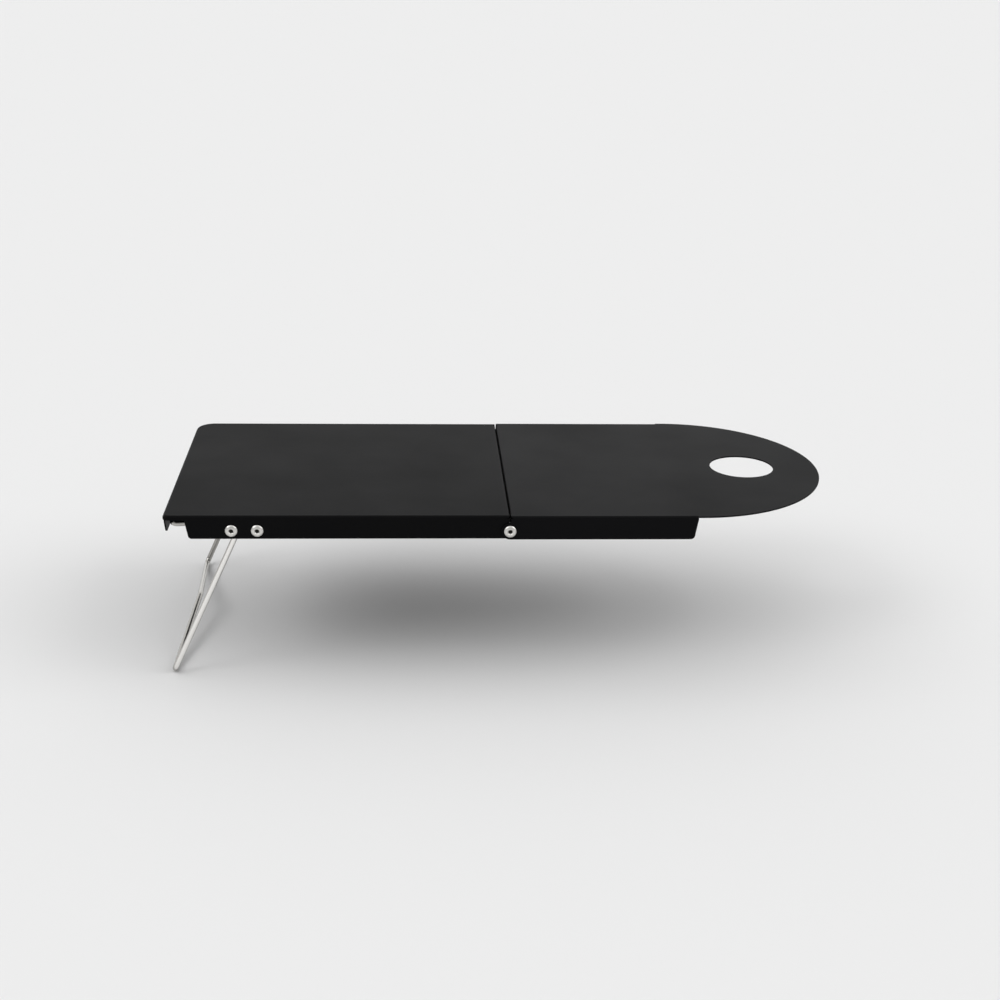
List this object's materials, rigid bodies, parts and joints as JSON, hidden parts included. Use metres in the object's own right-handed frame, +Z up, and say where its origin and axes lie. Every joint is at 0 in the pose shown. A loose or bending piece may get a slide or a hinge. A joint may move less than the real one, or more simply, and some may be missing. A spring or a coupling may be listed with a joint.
{
  "type": "camp kitchen table",
  "caption": "Folding two-leaf sheet-metal camp table with bent-wire legs at one end and a round end with a hole that rests round a gas canister's valve.",
  "frame": {"origin": "on the ground plane below the middle of the bounding box: the joint line of the two leaves, mid-width", "axes": "+X along the table towards the round end, +Y to the rear, +Z up"},
  "size_m": [0.3474, 0.154, 0.0885],
  "materials": {
    "black_powder_coat": "satin black powder coat",
    "polished_wire": "bright drawn stainless wire",
    "rivet_steel": "bright",
    "washer_steel": "satin"
  },
  "bodies": {
    "left_leaf": {"left_leaf": "black_powder_coat", "leaf_pivot_rivet_front": "rivet_steel", "leaf_pivot_rivet_rear": "rivet_steel", "leg_pivot_rivet_front": "rivet_steel", "leg_pivot_rivet_rear": "rivet_steel", "detent_rivet_front": "rivet_steel", "detent_rivet_rear": "rivet_steel", "leaf_pivot_washer_front": "washer_steel", "leaf_pivot_washer_rear": "washer_steel", "leg_pivot_washer_front": "washer_steel", "leg_pivot_washer_rear": "washer_steel", "leg_pivot_spacer_front": "washer_steel", "leg_pivot_spacer_rear": "washer_steel"},
    "right_leaf": {"right_leaf": "black_powder_coat"},
    "long_leg": {"long_leg_wire": "polished_wire"},
    "short_leg": {"short_leg_wire": "polished_wire"}
  },
  "joints": [
    {"name": "leaf_fold", "type": "hinge", "parent": "left_leaf", "child": "right_leaf", "pos_m": [0, 0, 0.0805], "axis": [0, 1, 0], "range_deg": [0, 180]},
    {"name": "long_leg_fold", "type": "hinge", "parent": "left_leaf", "child": "long_leg", "pos_m": [-0.1397, 0, 0.08065], "axis": [0, -1, 0], "range_deg": [0, 115.4]},
    {"name": "short_leg_swing", "type": "hinge", "parent": "left_leaf", "child": "short_leg", "pos_m": [-0.1397, 0, 0.08065], "axis": [0, 1, 0], "range_deg": [-98, 0]}
  ]
}
